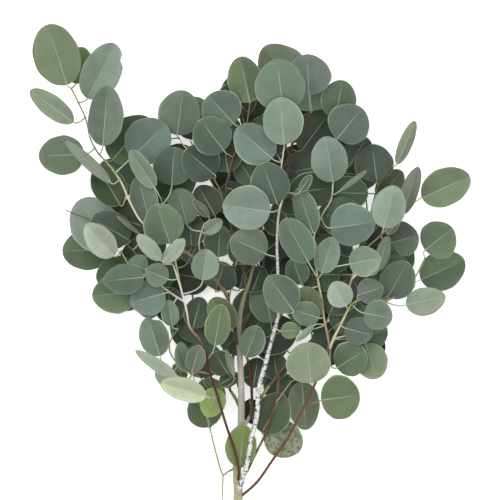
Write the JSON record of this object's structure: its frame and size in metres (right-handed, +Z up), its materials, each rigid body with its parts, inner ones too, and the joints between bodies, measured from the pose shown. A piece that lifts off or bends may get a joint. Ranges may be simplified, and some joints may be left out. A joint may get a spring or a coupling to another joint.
{
  "type": "eucalyptus branch",
  "caption": "Cut eucalyptus branch with round grey-green leaves on thin red-brown twigs, lying flat on a surface; foliage for arranging or decoration.",
  "frame": {"origin": "middle of the bounding box's bottom face, on the surface that the branch lies on", "axes": "+Z up from the surface; +Y from the cut end of the stem to the leafy top; +X to the right seen from above"},
  "size_m": [0.5283, 0.61, 0.1278],
  "materials": {
    "bark": "dull mottled bark, pale olive to white with darker flecks",
    "leaf": "waxy glaucous bloom, nearly matte, paler rim and midrib"
  },
  "bodies": {
    "root": {"main_stem": "bark", "top_left_spray": "leaf", "left_spray": "leaf", "left_low_spray": "leaf", "lower_left_sprig": "leaf", "inner_left_spray": "leaf", "center_spray": "leaf", "inner_spray": "leaf", "top_spray": "leaf", "right_spray": "leaf", "right_outer_spray": "leaf", "lower_right_sprig": "leaf", "back_left_spray": "leaf", "back_right_spray": "leaf", "back_top_spray": "leaf"}
  },
  "joints": []
}
